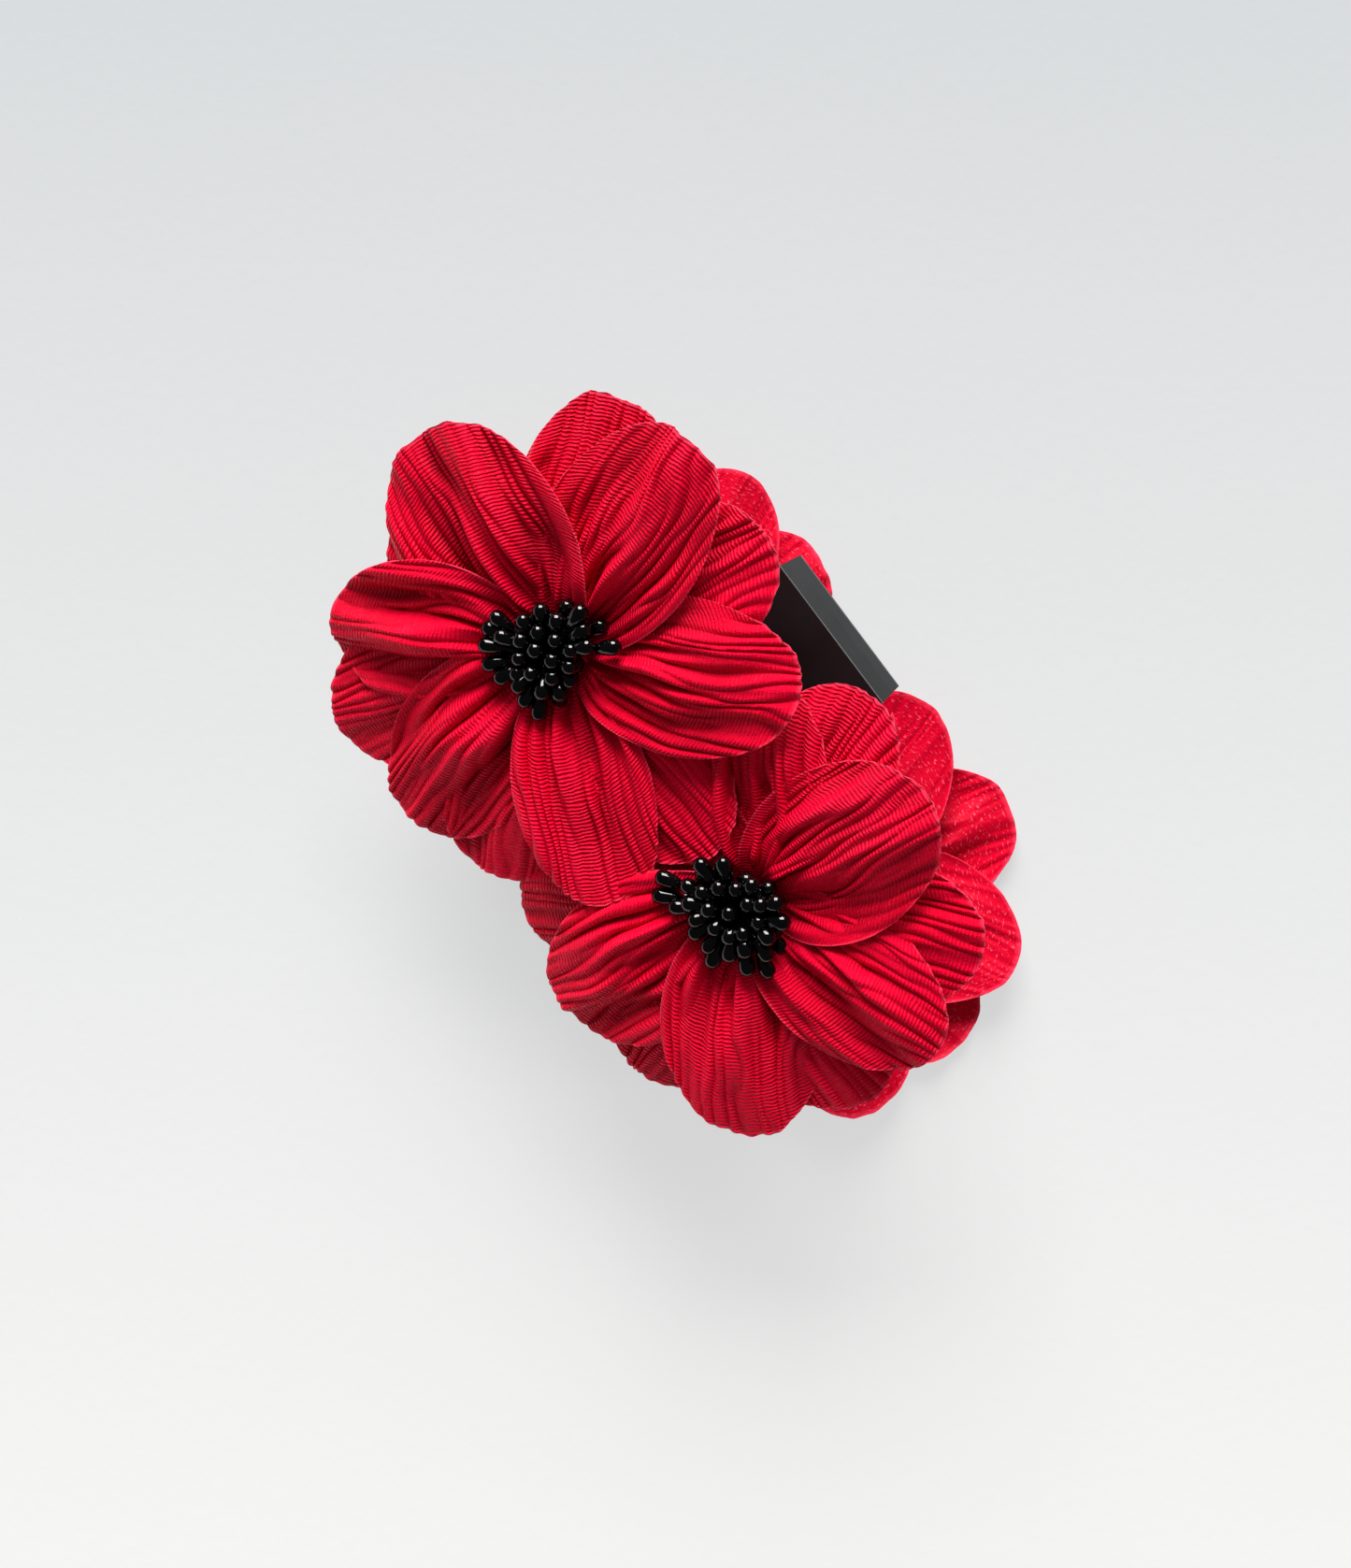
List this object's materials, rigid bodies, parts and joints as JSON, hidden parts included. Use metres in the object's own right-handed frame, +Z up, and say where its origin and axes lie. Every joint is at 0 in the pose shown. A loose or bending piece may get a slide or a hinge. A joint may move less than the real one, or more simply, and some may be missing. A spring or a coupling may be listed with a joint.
{
  "type": "claw hair clip",
  "caption": "Spring-hinged claw hair clip with interlocking curved jaws, finger handles and red fabric poppies with black stamens on both jaws.",
  "frame": {"origin": "middle of the clip's bounding box at the level of the surface it lies on", "axes": "+X along the hinge pin and the row of flowers, +Y towards the finger handles, +Z up, out of the front flowers"},
  "size_m": [0.1398, 0.0862, 0.0621],
  "materials": {
    "jaw_plastic": "fine matte moulded texture",
    "pin_steel": "drawn wire, plain",
    "spring_steel": "spring wire, slightly oiled",
    "petal_fabric": "crinkled woven petal cloth with a soft sheen",
    "stamen_lacquer": "glossy black lacquer over paste",
    "pad_felt": "pressed felt"
  },
  "bodies": {
    "back_half": {"back_jaw": "jaw_plastic", "hinge_pin": "pin_steel", "hinge_spring": "spring_steel", "back_left_pad": "pad_felt", "back_left_stamens": "stamen_lacquer", "back_left_upper_petal_1": "petal_fabric", "back_left_upper_petal_2": "petal_fabric", "back_left_upper_petal_3": "petal_fabric", "back_left_upper_petal_4": "petal_fabric", "back_left_upper_petal_5": "petal_fabric", "back_left_upper_petal_6": "petal_fabric", "back_left_lower_petal_1": "petal_fabric", "back_left_lower_petal_2": "petal_fabric", "back_left_lower_petal_3": "petal_fabric", "back_left_lower_petal_4": "petal_fabric", "back_left_lower_petal_5": "petal_fabric", "back_left_lower_petal_6": "petal_fabric", "back_right_pad": "pad_felt", "back_right_stamens": "stamen_lacquer", "back_right_upper_petal_1": "petal_fabric", "back_right_upper_petal_2": "petal_fabric", "back_right_upper_petal_3": "petal_fabric", "back_right_upper_petal_4": "petal_fabric", "back_right_upper_petal_5": "petal_fabric", "back_right_upper_petal_6": "petal_fabric", "back_right_lower_petal_1": "petal_fabric", "back_right_lower_petal_2": "petal_fabric", "back_right_lower_petal_3": "petal_fabric", "back_right_lower_petal_4": "petal_fabric", "back_right_lower_petal_5": "petal_fabric", "back_right_lower_petal_6": "petal_fabric"},
    "front_half": {"front_jaw": "jaw_plastic", "front_left_pad": "pad_felt", "front_left_stamens": "stamen_lacquer", "front_left_upper_petal_1": "petal_fabric", "front_left_upper_petal_2": "petal_fabric", "front_left_upper_petal_3": "petal_fabric", "front_left_upper_petal_4": "petal_fabric", "front_left_upper_petal_5": "petal_fabric", "front_left_upper_petal_6": "petal_fabric", "front_left_lower_petal_1": "petal_fabric", "front_left_lower_petal_2": "petal_fabric", "front_left_lower_petal_3": "petal_fabric", "front_left_lower_petal_4": "petal_fabric", "front_left_lower_petal_5": "petal_fabric", "front_left_lower_petal_6": "petal_fabric", "front_right_pad": "pad_felt", "front_right_stamens": "stamen_lacquer", "front_right_upper_petal_1": "petal_fabric", "front_right_upper_petal_2": "petal_fabric", "front_right_upper_petal_3": "petal_fabric", "front_right_upper_petal_4": "petal_fabric", "front_right_upper_petal_5": "petal_fabric", "front_right_upper_petal_6": "petal_fabric", "front_right_lower_petal_1": "petal_fabric", "front_right_lower_petal_2": "petal_fabric", "front_right_lower_petal_3": "petal_fabric", "front_right_lower_petal_4": "petal_fabric", "front_right_lower_petal_5": "petal_fabric", "front_right_lower_petal_6": "petal_fabric"}
  },
  "joints": [
    {"name": "jaw_hinge", "type": "hinge", "parent": "back_half", "child": "front_half", "pos_m": [-0.00422, 0.01355, 0.02768], "axis": [-1, 0, 0], "range_deg": [0, 45], "stiffness_Nm_per_rad": 0.19, "springref_deg": -29.79, "deforming": ["hinge_spring"]}
  ]
}
